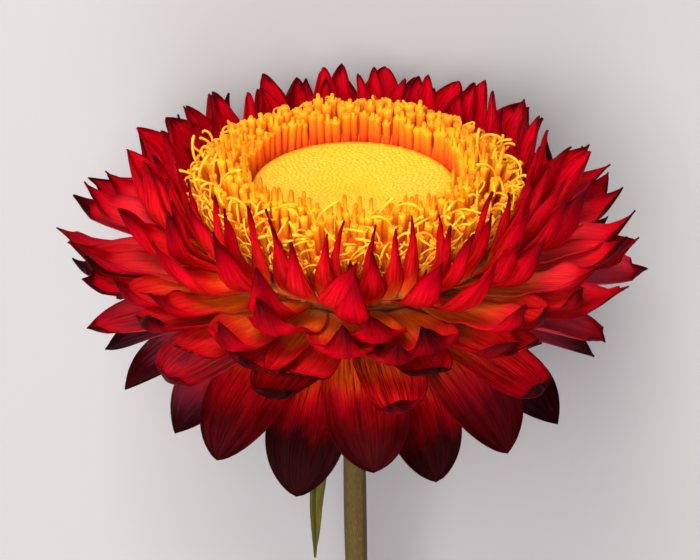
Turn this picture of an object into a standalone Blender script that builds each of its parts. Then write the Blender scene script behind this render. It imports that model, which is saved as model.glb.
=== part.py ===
"""A strawflower on its cut stem, laid down on a table.

Metres, +Z up, the table at Z = 0. Every piece is modelled in the head frame, about the bloom's own axis:
+Z up the axis towards the florets, -Y towards the side that lies uppermost. One empty then lays the whole
flower down, with its stem along -Y and its bloom facing +Y.
"""

import math
import random
from collections import namedtuple

import bmesh
import bpy
from mathutils import Matrix, Vector

MM = 0.001
DEG = math.pi / 180

# Driving dimensions
BLADE_THICKNESS = 0.6 * MM
NODE_GAP = 0.34 * MM
HEAD_TILT = 15.5 * DEG  # how far the bloom's axis points up from the table
HEAD_HEIGHT = 25.0 * MM  # the head's centre above the table
STEM_RADIUS = 1.15 * MM
STEM_LENGTH = 102 * MM  # from the head's centre to the cut end
STEM_STRAIGHT = 16 * MM  # how far down the stem keeps to the head's axis
STEM_DRIFT = 3.2 * MM  # how far the cut end lies to one side
SINK = 0.05 * MM  # how deep the cut end is pressed into the table before it is trimmed flat
OUTER_SEED = 16
MIDDLE_SEED = 12
INNER_SEED = 8
FLORET_SEED = 10

# One ring of bracts. Root is (radius, height) on the head; sizes are in mm and angles in degrees.
# A bract leaves its root at rise and comes to tip_rise; past the share bend of its length, its tip turns
# up by hook more.
Whorl = namedtuple(
    "Whorl", "count phase root length width rise tip_rise hook bend cup claw widest point tail"
)

OUTER_WHORLS = [
    Whorl(12, 8, (3.3, -9.9), 6.5, 3.6, -18, -62, 0, 0.60, 0.25, 0.60, 0.50, 1.3, 0.9),
    Whorl(10, -15, (6.0, -7.9), 18.8, 8.0, -4, -55, -4, 0.60, 0.20, 0.42, 0.62, 2.5, 0.66),
    Whorl(10, 5, (7.0, -7.1), 19.0, 8.1, 1, -55, 2, 0.60, 0.22, 0.42, 0.62, 2.5, 0.66),
    Whorl(11, -15, (8.3, -6.0), 20.6, 7.4, 1, 0, 80, 0.87, 0.32, 0.42, 0.56, 2.2, 0.9),
]
MIDDLE_WHORLS = [
    Whorl(11, -12, (9.9, -4.6), 19.2, 7.2, 4, 9, 84, 0.84, 0.34, 0.42, 0.56, 2.2, 1.0),
    Whorl(11, 4, (10.6, -4.0), 18.6, 7.0, 6, 12, 84, 0.79, 0.34, 0.42, 0.54, 2.2, 1.0),
    Whorl(11, -12, (11.3, -3.4), 17.9, 6.8, 8, 15, 80, 0.73, 0.34, 0.42, 0.54, 2.1, 1.05),
    Whorl(11, 4, (12.1, -2.7), 16.6, 6.6, 10, 18, 72, 0.68, 0.36, 0.42, 0.52, 2.0, 1.1),
]
INNER_WHORLS = [
    Whorl(10, 2, (13.2, -1.6), 15.4, 6.4, 15, 20, 64, 0.46, 0.38, 0.44, 0.50, 1.9, 1.15),
    Whorl(10, -16, (13.7, -1.2), 14.2, 6.0, 24, 30, 52, 0.43, 0.40, 0.46, 0.46, 1.8, 1.15),
    Whorl(12, 4, (14.3, -0.8), 12.8, 5.0, 36, 42, 38, 0.35, 0.40, 0.50, 0.42, 1.6, 1.15),
    Whorl(12, -11, (14.9, -0.4), 11.2, 3.9, 53, 60, 20, 0.35, 0.36, 0.60, 0.34, 1.3, 1.1),
    Whorl(12, 4, (15.4, 0.0), 9.8, 3.1, 69, 75, 8, 0.35, 0.30, 0.70, 0.26, 1.1, 1.05),
]
TURN_SHARE = 0.5  # the share of a tip over which it turns up
TIP_ROLL = 0.8  # how far a turned-up tip also rolls in, in radians at its edges
# The inner bracts on the side that lies undermost are shorter, broader and blunter than the uppermost.
REAR_SHORT = 0.15
REAR_BROAD = 0.4
REAR_BLUNT = 0.4

# The receptacle is a cone: this line runs up through the bracts' roots, as radius and height in mm.
CONE_FOOT = (2.9, -10.4)
CONE_SLOPE = 0.832
COLLAR_DEPTH = 1.6  # thickness of a node's collar of bract roots, measured along the axis
OUTER_COLLAR = (-10.6, -5.5)  # lowest and highest level of each collar on the cone
MIDDLE_COLLAR = (-5.0, -2.2)
INNER_COLLAR = (-1.7, 0.2)
RECEPTACLE_TOP = -0.4

# The open florets stand in a ring round the flat centre of unopened ones. Sizes in mm and degrees.
FLORET_BASE = 0.6
CENTRE_RADIUS = 10.0
CENTRE_TOP = 4.0
BUD_HEIGHT = 0.5
RING_FOOT = (10.35, 14.5)  # inner and outer radius of the ring's packed base
RING_FOOT_TOP = 3.6
FloretRow = namedtuple("FloretRow", "radius count lean top")
FLORET_ROWS = [
    FloretRow(10.95, 34, 2, 7.7),
    FloretRow(11.9, 37, 5, 7.6),
    FloretRow(12.8, 40, 8, 7.2),
    FloretRow(13.65, 43, 9, 6.5),
]
FLORET_RADIUS = 0.4
TURN_STEPS = 24

# The leaf hangs from the stem just under the bracts: its line runs through the first and last point
# and is drawn towards the middle one. In mm.
LEAF_LINE = [(-1.4, -1.45, -12.4), (-3.9, -4.9, -17.5), (-4.0, -4.2, -36.2)]
LEAF_WIDTH = 2.5
LEAF_TURN = 40 * DEG  # how far its base faces round the stem; by the tip it has turned half of this back


def clear_scene():
    for old in list(bpy.data.objects):
        bpy.data.objects.remove(old)


def new_collection(name):
    made = bpy.data.collections.new(name)
    bpy.context.scene.collection.children.link(made)
    return made


def new_object(name, bm, collection):
    mesh = bpy.data.meshes.new(name)
    bm.to_mesh(mesh)
    bm.free()
    made = bpy.data.objects.new(name, mesh)
    collection.objects.link(made)
    return made


def paint(obj, name, colour, roughness):
    """Gives a piece its own plain material."""
    made = bpy.data.materials.new(name)
    made.use_nodes = True
    shader = made.node_tree.nodes["Principled BSDF"]
    shader.inputs["Base Color"].default_value = (*colour, 1)
    shader.inputs["Roughness"].default_value = roughness
    shader.inputs["Metallic"].default_value = 0
    made.diffuse_color = (*colour, 1)
    obj.data.materials.clear()
    obj.data.materials.append(made)


def apply_modifiers(obj):
    graph = bpy.context.evaluated_depsgraph_get()
    mesh = bpy.data.meshes.new_from_object(obj.evaluated_get(graph))
    obj.modifiers.clear()
    obj.data = mesh
    return obj


def smooth_max(value, floor, blend):
    """The larger of the two, rounded where they meet."""
    near = max(blend - abs(value - floor), 0)
    return max(value, floor) + near * near / (4 * blend)


# Laying down
UP_IN_HEAD = Vector((0, -math.cos(HEAD_TILT), math.sin(HEAD_TILT)))


def lay_down():
    """The matrix that carries the head frame to the flower lying on the table."""
    turn = Matrix.Rotation(HEAD_TILT - math.pi / 2, 4, "X")
    return Matrix.Translation((0, 0, HEAD_HEIGHT)) @ turn


def height_over_table(point):
    return HEAD_HEIGHT + Vector(point).dot(UP_IN_HEAD)


# Between neighbouring nodes of bracts runs a sheet that neither crosses: its height over the radius.
def lower_sheet(radius):
    past = max(radius - 9, 0)
    return -5.3 + 0.175 * past - 0.0035 * past * past + 0.8 * smooth_max(radius - 25, 0, 2)


def upper_sheet(radius):
    return -2.1 + 0.2 * (radius - 13) + 2.4 * smooth_max(radius - 22.2, 0, 3.5)


def steepness(sheet, radius):
    """How much further apart, measured upright, things must be over a sloping sheet."""
    return math.hypot(1, (sheet(radius + 0.1) - sheet(radius - 0.1)) / 0.2)


def disc_wall(height):
    """The radius that parts the innermost bracts from the florets."""
    return 14.85 + 0.17 * max(height, 0)


def keep_between(radius, height, below, above, margin):
    """Bends a bract's (radius, height), in mm, clear of the sheets below and above its node."""
    if below:
        height = smooth_max(height, below(radius) + margin * steepness(below, radius), 0.6)
    if above:
        height = -smooth_max(-height, margin * steepness(above, radius) - above(radius), 0.6)
    return smooth_max(radius, disc_wall(height) + margin, 0.3) if height > -0.5 else radius, height


# Bracts
Own = namedtuple("Own", "azimuth length width rise roll lean hook cup tail")
Bract = namedtuple("Bract", "whorl own")


def own_ways(draw, azimuth, uneven):
    """How one bract differs from its whorl. Azimuth 0 is the side that lies uppermost."""
    rear = (1 - math.cos(azimuth * DEG)) / 2
    return Own(
        azimuth=azimuth + draw.uniform(-3.2, 3.2),
        length=draw.uniform(0.94, 1.05) * (1 - uneven * REAR_SHORT * rear),
        width=draw.uniform(0.92, 1.08) * (1 + uneven * REAR_BROAD * rear),
        rise=draw.uniform(-4.0, 4.0),
        roll=draw.uniform(-9, 9),
        lean=draw.uniform(-0.07, 0.07),
        hook=draw.uniform(0.6, 1.15),
        cup=draw.uniform(0.8, 1.2),
        tail=1 - uneven * REAR_BLUNT * rear,
    )


def slope_at(whorl, own, along):
    """How steeply a bract climbs, in degrees, at a share of its length."""
    turned_up = min(1, max(0, (along - whorl.bend) / (1 - whorl.bend) / TURN_SHARE))
    eased = turned_up * turned_up * (3 - 2 * turned_up)
    slope = whorl.rise + (whorl.tip_rise - whorl.rise) * along
    return slope + own.rise * min(1, 3 * along) + whorl.hook * own.hook * eased


def spine(whorl, own, base_rows, tip_rows, steps=6):
    """(share of the length, radius, height, slope) at each row: evenly to the bend, then closing up."""
    shares = [whorl.bend * row / base_rows for row in range(base_rows)]
    shares += [1 - (1 - whorl.bend) * (1 - row / tip_rows) ** 1.3 for row in range(tip_rows + 1)]
    radius, height = whorl.root
    stations = []
    for share, onward in zip(shares, shares[1:] + shares[-1:]):
        stations.append((share, radius, height, slope_at(whorl, own, share) * DEG))
        stride = whorl.length * own.length * (onward - share) / steps
        for step in range(steps):
            slope = slope_at(whorl, own, share + (onward - share) * (step + 0.5) / steps) * DEG
            radius += math.cos(slope) * stride
            height += math.sin(slope) * stride
    return stations


def lowest_reach(whorl, own):
    """How high over the table, in mm, the lowest part of a bract's middle line comes."""
    depth = math.cos(own.azimuth * DEG)
    heights = []
    for _, radius, height, _ in spine(whorl, own, 5, 5):
        heights.append(height_over_table((0, -radius * depth * MM, height * MM)) / MM)
    return min(heights[3:])


def fit_to_table(whorl, own, floor, reach):
    """Shortens a bract that would pass the floor. With a reach, also stretches one that ends close over it."""
    while lowest_reach(whorl, own) < floor:
        own = own._replace(length=own.length - 0.005)
    for _ in range(reach):
        longer = own._replace(length=own.length + 0.005)
        if lowest_reach(whorl, longer) < floor:
            break
        if lowest_reach(whorl, own._replace(length=own.length + 0.005 * reach)) < floor:
            own = longer
    return own


def arrange(whorls, seed, floor, reach=0, uneven=0):
    """Every bract of a node, with its own ways, fitted to the table."""
    draw = random.Random(seed)
    bracts = []
    for whorl in whorls:
        for index in range(whorl.count):
            own = own_ways(draw, whorl.phase + 360 * index / whorl.count, uneven)
            bracts.append(Bract(whorl, fit_to_table(whorl, own, floor, reach)))
    return bracts


def half_width(whorl, own, along):
    """Half the blade's width, in mm, at a share of its length: it closes to a drawn-out point."""
    broad = whorl.width * own.width / 2
    if along < whorl.widest:
        grown = math.sin(math.pi / 2 * along / whorl.widest)
        return broad * (whorl.claw + (1 - whorl.claw) * grown)
    past = (along - whorl.widest) / (1 - whorl.widest)
    return broad * max(0, 1 - past**whorl.point) ** (whorl.tail * own.tail)


def bract_surface(bract, base_rows, tip_rows, columns, below, above):
    """The open middle surface of one bract: a grid bent to its shape and rolled in across."""
    whorl, own = bract
    rows = base_rows + tip_rows
    bm = bmesh.new()
    bmesh.ops.create_grid(bm, x_segments=columns, y_segments=rows, size=1)
    stations = spine(whorl, own, base_rows, tip_rows)
    azimuth = own.azimuth * DEG
    outward = Vector((math.sin(azimuth), -math.cos(azimuth), 0))
    sideways = Vector((math.cos(azimuth), math.sin(azimuth), 0))
    margin = (NODE_GAP + BLADE_THICKNESS) / 2 / MM * 1.3
    for vert in bm.verts:
        across = vert.co.x
        along, radius, height, slope = stations[round((vert.co.y + 1) / 2 * rows)]
        half = half_width(whorl, own, along)
        curl = 2 * whorl.cup * own.cup * min(1, 1.8 * along)
        if whorl.hook > 5:
            curl += TIP_ROLL * min(1, max(0, 1.6 * (along - whorl.bend) / (1 - whorl.bend)))
        rolled = half * (1 - math.cos(curl * across)) / curl if curl else 0
        flat = half * math.sin(curl * across) / curl if curl else half * across
        wrap = math.sin(slope) * (half * across) ** 2 / (2 * radius) * (1 - along)
        lift = rolled + wrap + flat * math.sin(own.roll * DEG)
        radius -= math.sin(slope) * lift
        height += math.cos(slope) * lift
        side = flat * math.cos(own.roll * DEG) + own.lean * whorl.length * along * along
        radius, height = keep_between(radius, height, below, above, margin)
        vert.co = (outward * radius + sideways * side + Vector((0, 0, height))) * MM
    bmesh.ops.remove_doubles(bm, verts=bm.verts, dist=0.02 * MM)
    bmesh.ops.triangulate(bm, faces=bm.faces, quad_method="SHORT_EDGE")
    return bm


def thicken(obj):
    """Gives a surface of triangles the blades' thickness, alike on both faces."""
    wall = obj.modifiers.new("thickness", "SOLIDIFY")
    wall.thickness = BLADE_THICKNESS
    wall.offset = 0
    return apply_modifiers(obj)


def add_blades(bracts, collection, below=None, above=None):
    """Adds each bract as a thin solid. The narrow ones stay flat across, the blunt tips get a row more."""
    for index, bract in enumerate(bracts):
        columns = 2 if bract.whorl.width > 5.5 else 1
        tip_rows = 2 if bract.whorl.tail > 0.7 else 3
        surface = bract_surface(bract, 2, tip_rows, columns, below, above)
        thicken(new_object(f"blade_{index}", surface, collection))


def turned(name, profile, collection, closed=False, steps=TURN_STEPS):
    """A solid of revolution about Z. The profile, in mm, runs down its outer side, top to bottom."""
    bm = bmesh.new()
    corners = [bm.verts.new((radius * MM, 0, height * MM)) for radius, height in profile]
    ends = corners[1:] + corners[:1] if closed else corners[1:]
    for start, end in zip(corners, ends):
        bm.edges.new((start, end))
    made = new_object(name, bm, collection)
    screw = made.modifiers.new("turn", "SCREW")
    screw.steps = screw.render_steps = steps
    screw.use_merge_vertices = True
    screw.merge_threshold = 0.01 * MM
    return apply_modifiers(made)


def cone_radius(height):
    """The receptacle cone's radius, in mm, at the level of a bract's root."""
    return CONE_FOOT[0] + (height - CONE_FOOT[1]) / CONE_SLOPE


def collar(name, span, collection):
    """The ring of receptacle skin that carries a node's bracts."""
    low, high = span
    depth = COLLAR_DEPTH / CONE_SLOPE
    inner_low = max(cone_radius(low) - depth, 1.75)
    outer = [(cone_radius(high), high), (max(cone_radius(low), inner_low + 0.9), low)]
    inner = [(inner_low, low), (cone_radius(high) - depth, high)]
    return turned(name, outer + inner, collection, closed=True)


# Fusing and trimming
def signed_volume(faces):
    total = 0
    for face in faces:
        first, *others = [loop.vert.co for loop in face.loops]
        total += sum(first.dot(a.cross(b)) for a, b in zip(others, others[1:])) / 6
    return total


def keep_largest_shell(obj):
    """Drops loose scraps, and fills the hollows that fusing has sealed."""
    bm = bmesh.new()
    bm.from_mesh(obj.data)
    unseen = set(bm.faces)
    shells = []
    while unseen:
        shell = [unseen.pop()]
        for face in shell:
            for edge in face.edges:
                for other in edge.link_faces:
                    if other in unseen:
                        unseen.remove(other)
                        shell.append(other)
        shells.append(shell)
    shells.sort(key=signed_volume)
    dropped = [face for shell in shells[:-1] for face in shell]
    bmesh.ops.delete(bm, geom=dropped, context="FACES")
    bm.to_mesh(obj.data)
    bm.free()


def join_all(target, pieces):
    """Fuses every object of the collection into the target, then removes them."""
    union = target.modifiers.new("join", "BOOLEAN")
    union.operation = "UNION"
    union.operand_type = "COLLECTION"
    union.collection = pieces
    union.solver = "EXACT"
    apply_modifiers(target)
    keep_largest_shell(target)
    for piece in list(pieces.objects):
        bpy.data.objects.remove(piece)


def trim_at_table(target, work):
    """Cuts off what is pressed into the table, which leaves small flat feet."""
    size = 0.4
    bm = bmesh.new()
    bmesh.ops.create_cube(bm, size=size)
    slab = new_object("table_cutter", bm, work)
    under = Matrix.Translation((0, 0, -size / 2))
    slab.matrix_world = lay_down().inverted() @ under
    cut = target.modifiers.new("trim", "BOOLEAN")
    cut.operation = "DIFFERENCE"
    cut.object = slab
    cut.solver = "EXACT"
    bpy.context.view_layer.update()
    apply_modifiers(target)
    keep_largest_shell(target)
    bpy.data.objects.remove(slab)


# Stem, leaf and florets
def stem_bend():
    """How fast the stem bends up from the head's axis, so that its cut end just lies on the table."""
    fall = STEM_LENGTH * math.sin(HEAD_TILT) + STEM_RADIUS - SINK - HEAD_HEIGHT
    return fall / math.cos(HEAD_TILT) / (STEM_LENGTH - STEM_STRAIGHT) ** 2


def add_stem(collection, work):
    """The receptacle, the neck and the stem down to its cut end, turned about the axis and then bent."""
    depth = (COLLAR_DEPTH + 0.5) / CONE_SLOPE
    thick = STEM_RADIUS / MM
    profile = [(0, RECEPTACLE_TOP), (cone_radius(RECEPTACLE_TOP) - depth, RECEPTACLE_TOP)]
    profile += [(cone_radius(level) - depth, level) for level in (-4.0, -7.6, -9.0)]
    profile += [(1.38, -9.6), (1.36, -11.5), (thick * 1.06, -14.0)]
    stretch = STEM_LENGTH / MM - 18
    profile += [(thick * (1 + 0.03 * math.sin(step)), -18 - stretch * step / 9) for step in range(10)]
    profile += [(0, -STEM_LENGTH / MM)]
    stem = turned("stem", profile, collection, steps=16)
    bend = stem_bend()
    for vert in stem.data.vertices:
        past = max(-vert.co.z - STEM_STRAIGHT, 0)
        share = past / (STEM_LENGTH - STEM_STRAIGHT)
        vert.co.y -= bend * past * past
        vert.co.x += STEM_DRIFT * share * share
    trim_at_table(stem, work)
    return stem


def add_leaf(collection):
    """One narrow leaf, folded a little along its midrib."""
    rows = 8
    start, draw, end = [Vector(point) for point in LEAF_LINE]
    bm = bmesh.new()
    bmesh.ops.create_grid(bm, x_segments=2, y_segments=rows, size=1)
    for vert in bm.verts:
        along = (vert.co.y + 1) / 2
        middle = start * (1 - along) ** 2 + draw * 2 * along * (1 - along) + end * along**2
        turn = LEAF_TURN * (1 - 0.5 * along)
        side = Vector((math.cos(turn), math.sin(turn), 0))
        front = Vector((math.sin(turn), -math.cos(turn), 0))
        width = LEAF_WIDTH / 2 * (0.45 + 0.55 * min(1, 2 * along))
        width *= max(0, 1 - along**3.4) ** 0.9
        offset = side * (vert.co.x * width) + front * (abs(vert.co.x) * width * 0.35)
        vert.co = (middle + offset) * MM
    bmesh.ops.remove_doubles(bm, verts=bm.verts, dist=0.02 * MM)
    bmesh.ops.triangulate(bm, faces=bm.faces)
    return thicken(new_object("leaf", bm, collection))


def add_open_florets(collection, work):
    """The ring of open florets: four rows of slim tubes that stand out of their packed bases."""
    inner, outer = RING_FOOT
    foot = [(outer, RING_FOOT_TOP), (outer - 0.1, FLORET_BASE), (inner, FLORET_BASE), (inner, RING_FOOT_TOP)]
    ring = turned("open_florets", foot, collection, closed=True, steps=36)
    draw = random.Random(FLORET_SEED)
    sunk = 0.8
    for row in FLORET_ROWS:
        for index in range(row.count):
            azimuth = (360 * (index + draw.uniform(-0.18, 0.18)) / row.count) * DEG
            lean = (row.lean + draw.uniform(-2, 2)) * DEG
            foot_level = RING_FOOT_TOP - sunk
            length = row.top + draw.uniform(-0.45, 0.45) - foot_level
            bm = bmesh.new()
            bmesh.ops.create_cone(
                bm,
                cap_ends=True,
                segments=4,
                radius1=FLORET_RADIUS * 0.8 * MM,
                radius2=FLORET_RADIUS * MM,
                depth=length * MM,
                matrix=Matrix.Translation((0, 0, length / 2 * MM)),
            )
            spin = Matrix.Rotation(draw.uniform(0, 90) * DEG, 4, "Z")
            place = Matrix.Translation((row.radius * MM, 0, foot_level * MM)) @ Matrix.Rotation(lean, 4, "Y")
            bmesh.ops.transform(bm, matrix=Matrix.Rotation(azimuth, 4, "Z") @ place @ spin, verts=bm.verts)
            new_object(f"floret_{row.count}_{index}", bm, work)
    join_all(ring, work)
    return ring


def add_centre(collection):
    """The unopened florets: a low disc with a bud at every other crossing of its rings and rays."""
    rings = 7
    top = [(CENTRE_RADIUS * ring / rings, CENTRE_TOP) for ring in range(rings + 1)]
    centre = turned("centre_florets", top + [(CENTRE_RADIUS, FLORET_BASE), (0, FLORET_BASE)], collection, steps=48)
    for vert in centre.data.vertices:
        radius = math.hypot(vert.co.x, vert.co.y) / MM
        if vert.co.z < CENTRE_TOP * MM * 0.9 or radius < 0.1:
            continue
        ring = round(radius / CENTRE_RADIUS * rings)
        ray = round(math.atan2(vert.co.y, vert.co.x) / (2 * math.pi) * 48)
        raised = BUD_HEIGHT if (ring + ray) % 2 else 0
        vert.co.z += (raised + 0.3 * (radius / CENTRE_RADIUS) ** 2) * MM
    return centre


def rest_on_origin(anchor, pieces):
    """Moves the flower along the table until its bounding box is centred on the origin."""
    bpy.context.view_layer.update()
    corners = [piece.matrix_world @ vert.co for piece in pieces for vert in piece.data.vertices]
    for axis in (0, 1):
        values = [corner[axis] for corner in corners]
        anchor.location[axis] -= (min(values) + max(values)) / 2
    bpy.context.view_layer.update()


def main():
    clear_scene()
    flower = new_collection("strawflower")
    work = new_collection("work")

    stem = add_stem(flower, work)
    leaf = add_leaf(flower)

    outer = collar("outer_bracts", OUTER_COLLAR, flower)
    add_blades(arrange(OUTER_WHORLS, OUTER_SEED, 0.9), work, above=lower_sheet)
    join_all(outer, work)

    middle = collar("middle_bracts", MIDDLE_COLLAR, flower)
    add_blades(arrange(MIDDLE_WHORLS, MIDDLE_SEED, -0.3, 20), work, lower_sheet, upper_sheet)
    join_all(middle, work)
    trim_at_table(middle, work)

    inner = collar("inner_bracts", INNER_COLLAR, flower)
    add_blades(arrange(INNER_WHORLS, INNER_SEED, 0.9, uneven=1), work, below=upper_sheet)
    join_all(inner, work)

    open_florets = add_open_florets(flower, work)
    centre = add_centre(flower)
    bpy.data.collections.remove(work)

    paint(stem, "dry_stem", (0.098, 0.060, 0.019), 0.7)
    paint(leaf, "dry_leaf", (0.061, 0.050, 0.003), 0.65)
    paint(outer, "maroon_bract", (0.10, 0.002, 0.004), 0.42)
    paint(middle, "red_bract", (0.50, 0.010, 0.012), 0.40)
    paint(inner, "crimson_bract", (0.42, 0.004, 0.010), 0.40)
    paint(open_florets, "orange_floret", (0.97, 0.35, 0.016), 0.6)
    paint(centre, "yellow_floret", (0.98, 0.62, 0.025), 0.6)

    anchor = bpy.data.objects.new("flower", None)
    flower.objects.link(anchor)
    anchor.matrix_world = lay_down()
    pieces = [stem, leaf, outer, middle, inner, open_florets, centre]
    for piece in pieces:
        piece.parent = anchor
    rest_on_origin(anchor, pieces)


main()
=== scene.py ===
"""A strawflower on its cut stem, lying on a pale table: its looks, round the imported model.

Metres, +Z up. Every piece is shaped in the head frame, about the bloom's own axis (+Z up the axis towards
the florets, -Y towards the side that lies uppermost), and then laid down with the flower. In the head frame
a size without MM beside it is in mm, and a bract's azimuth is in degrees from the uppermost side.
"""

import math
import random
from collections import namedtuple

import bmesh
import bpy
from mathutils import Matrix, Vector


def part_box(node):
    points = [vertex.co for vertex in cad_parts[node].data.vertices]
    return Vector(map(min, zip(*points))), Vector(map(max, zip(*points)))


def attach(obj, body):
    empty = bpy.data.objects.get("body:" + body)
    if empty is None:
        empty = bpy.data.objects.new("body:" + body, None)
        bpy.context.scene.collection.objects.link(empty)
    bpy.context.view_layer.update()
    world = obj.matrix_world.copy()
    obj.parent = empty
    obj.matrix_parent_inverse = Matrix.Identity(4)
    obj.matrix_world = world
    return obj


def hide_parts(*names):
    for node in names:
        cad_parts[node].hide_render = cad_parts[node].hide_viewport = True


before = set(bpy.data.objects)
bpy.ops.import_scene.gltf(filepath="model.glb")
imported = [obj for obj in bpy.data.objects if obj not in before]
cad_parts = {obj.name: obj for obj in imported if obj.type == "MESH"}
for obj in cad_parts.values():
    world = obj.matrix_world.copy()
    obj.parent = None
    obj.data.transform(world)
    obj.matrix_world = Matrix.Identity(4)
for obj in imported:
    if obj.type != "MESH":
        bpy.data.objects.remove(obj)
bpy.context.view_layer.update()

MM = 0.001
DEG = math.pi / 180

HEAD_TILT = 15.5 * DEG  # how far the bloom's axis points up from the table
HEAD_HEIGHT = 25.0 * MM  # the head's centre above the table
CENTRE_RADIUS = 10.0  # of the disc of unopened florets
FLORET_BASE = 0.6  # height of the foot of the disc and of the ring's core
DISC_SIDES = 72

BRACT_THICKNESS = 0.16 * MM
TABLE_GAP = 0.01 * MM  # between a bract's underside and the table
WELD = 0.002 * MM
GRID_WELD = 0.004 * MM  # closes a blade's point, where the last row of its grid meets

STEM_RADIUS = 1.15 * MM
STEM_LENGTH = 102 * MM  # from the head's centre to the cut end
STEM_STRAIGHT = 16 * MM  # how far down the stem keeps to the head's axis
STEM_DRIFT = 3.2 * MM  # how far the cut end lies to one side
STEM_SINK = 0.05 * MM  # how far the cut end dips into the table before it is flattened there
STEM_NECK = -9.6  # height at which the stem leaves the receptacle

CONE_FOOT = (2.9, -10.4)  # (radius, height) of the receptacle's foot
CONE_SLOPE = 0.832  # how far the cone rises for each mm of radius
COLLAR_DEPTH = 1.6  # thickness of the skin that a node's bracts grow from, measured along the axis
COLLAR_SIDES = 64
COLLARS = {"outer_bracts": (-10.6, -5.5), "middle_bracts": (-5.0, -2.2), "inner_bracts": (-1.7, 0.2)}

# One ring of bracts. Root is (radius, height) on the head; sizes are in mm and angles in degrees.
# A bract leaves its root at rise and comes to tip_rise; past the share bend of its length, its tip turns
# up by hook more. Cup is how far it rolls in across. Claw is the share of its width at its root, widest the
# share of its length at which it is broadest, and point and tail shape how it closes from there.
Whorl = namedtuple(
    "Whorl", "count phase root length width rise tip_rise hook bend cup claw widest point tail"
)
OUTER_WHORLS = [
    Whorl(12, 8, (3.3, -9.9), 6.5, 3.6, -18, -62, 0, 0.60, 0.25, 0.60, 0.50, 1.3, 0.9),
    Whorl(10, -15, (6.0, -7.9), 18.8, 8.0, -4, -55, -4, 0.60, 0.20, 0.42, 0.62, 2.5, 0.66),
    Whorl(10, 5, (7.0, -7.1), 19.0, 8.1, 1, -55, 2, 0.60, 0.22, 0.42, 0.62, 2.5, 0.66),
    Whorl(14, -15, (8.3, -6.0), 20.4, 7.4, 1, 0, 92, 0.90, 0.32, 0.42, 0.58, 3.0, 0.72),
]
MIDDLE_WHORLS = [
    Whorl(14, -12, (9.9, -4.6), 19.0, 7.2, 4, 9, 92, 0.88, 0.34, 0.42, 0.58, 2.9, 0.75),
    Whorl(14, 4, (10.6, -4.0), 18.4, 7.0, 6, 12, 90, 0.84, 0.34, 0.42, 0.56, 2.7, 0.8),
    Whorl(14, -6, (11.3, -3.4), 17.8, 6.7, 8, 15, 84, 0.76, 0.34, 0.42, 0.54, 2.3, 0.95),
    Whorl(14, 8, (12.1, -2.7), 16.6, 6.5, 10, 18, 72, 0.70, 0.36, 0.42, 0.52, 2.1, 1.05),
]
INNER_WHORLS = [
    Whorl(14, 2, (13.2, -1.6), 15.4, 6.3, 15, 20, 64, 0.46, 0.38, 0.44, 0.50, 1.9, 1.15),
    Whorl(14, -8, (13.7, -1.2), 14.2, 5.7, 24, 30, 52, 0.43, 0.40, 0.46, 0.46, 1.8, 1.15),
    Whorl(16, 4, (14.3, -0.8), 12.8, 4.5, 36, 42, 38, 0.35, 0.40, 0.50, 0.42, 1.6, 1.15),
    Whorl(22, -6, (14.9, -0.4), 11.4, 3.4, 53, 60, 20, 0.35, 0.36, 0.60, 0.34, 1.3, 1.1),
    Whorl(27, 5, (15.4, 0.0), 10.2, 2.6, 69, 75, 8, 0.35, 0.30, 0.70, 0.26, 1.1, 1.05),
]
TURN_SHARE = 0.5  # the share of a tip over which it turns up
HOOKED = 5  # a whorl whose hook is more than this has tips that turn up
DROOPING = -20  # a whorl whose tip_rise is less than this hangs down
# The inner bracts on the side that lies undermost are shorter, broader and blunter than the uppermost.
REAR_SHORT = 0.15
REAR_BROAD = 0.8
REAR_BLUNT = 0.45
EVEN_SIDE = 0.4  # the share of the way to the undermost side at which a bract has its whorl's own width
SIDE_SHARP = 0.5  # the other nodes' bracts end at the sides in sharper tips, which turn up less
SIDE_FLAT = 0.45
SIDE_EASE = 34  # how many degrees less a drooping bract's tip hangs at the sides than above and below
SMALL_BRACT = 8  # a shorter bract has fewer rows of faces
SMALL_ROWS = (5, 5)
NARROW_BRACT = 4  # a narrower bract has fewer columns of faces
NARROW_COLUMNS = 8
LENGTH_STEP = 0.005  # the share of its length by which a bract is fitted to the table

# Two curved sheets part the three nodes of bracts: each starts at a (radius, height) and turns up at its rim.
LOWER_SHEET_START = (9, -5.3)
LOWER_SHEET_RIM = 25
UPPER_SHEET_START = (13, -2.1)
UPPER_SHEET_RIM = 22.2
SHEET_MARGIN = 0.25  # how far a bract's middle surface keeps from a sheet and from the ring of florets
SHEET_BLEND = 0.6
RING_WALL = 14.85  # outer radius of the ring of open florets at its foot
RING_FLARE = 0.17
RING_WALL_FOOT = -0.5  # height from which a bract keeps clear of the ring
RING_BLEND = 0.3


def head_centre():
    """The head's centre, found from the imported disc, whose lowest rim is its hindmost point."""
    low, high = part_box("centre_florets")
    hindmost = (FLORET_BASE * math.cos(HEAD_TILT) - CENTRE_RADIUS * math.sin(HEAD_TILT)) * MM
    return Vector(((low.x + high.x) / 2, low.y - hindmost, HEAD_HEIGHT))


HEAD_CENTRE = head_centre()
# Carries the head frame to the flower lying on the table.
LAID = Matrix.Translation(HEAD_CENTRE) @ Matrix.Rotation(HEAD_TILT - math.pi / 2, 4, "X")


def smooth_max(value, floor, blend):
    """The larger of two numbers, rounded over where they are less than blend apart."""
    near = max(blend - abs(value - floor), 0)
    return max(value, floor) + near * near / (4 * blend)


def move_up(vert, distance):
    """Moves a point of the head frame straight up from the table."""
    vert.co.y -= distance * math.cos(HEAD_TILT)
    vert.co.z += distance * math.sin(HEAD_TILT)


def add_layers(bm, names):
    """Number layers on a piece's points, which its material reads."""
    return [bm.verts.layers.float.new(name) for name in names]


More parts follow.
